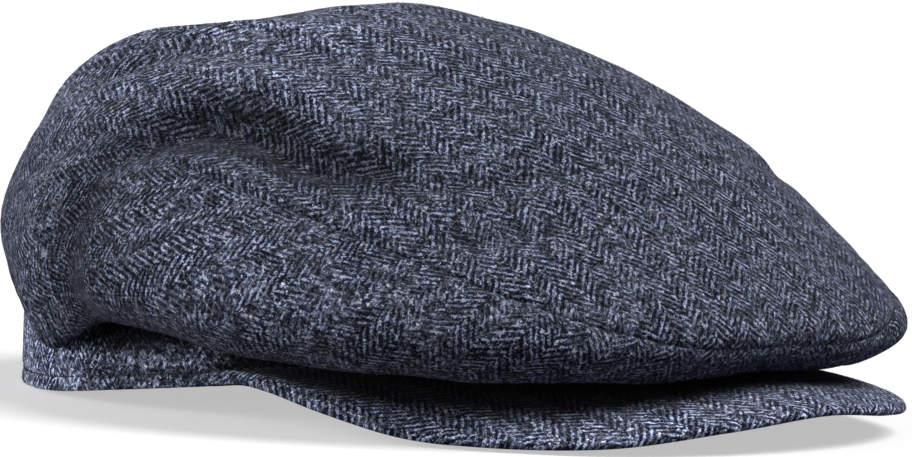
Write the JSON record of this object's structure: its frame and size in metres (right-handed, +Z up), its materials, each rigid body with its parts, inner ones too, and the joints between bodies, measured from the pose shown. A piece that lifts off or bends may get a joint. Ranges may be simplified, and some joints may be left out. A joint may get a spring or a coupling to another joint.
{
  "type": "flat cap",
  "caption": "Soft flat cap of herringbone tweed: a full crown sewn from a top panel and side panels, a headband and a stiff peak, lying on its hem with soft folds.",
  "frame": {"origin": "under the middle of the cap, on the surface that it rests on", "axes": "+Z up; -Y the way the peak points, +Y to the back of the cap; -X the wearer's right, +X the wearer's left"},
  "size_m": [0.2332, 0.2714, 0.1078],
  "materials": {
    "tweed": "napped wool, matt"
  },
  "bodies": {
    "root": {"top_panel": "tweed", "side_panel_right": "tweed", "side_panel_left": "tweed", "headband": "tweed", "peak": "tweed"}
  },
  "joints": []
}
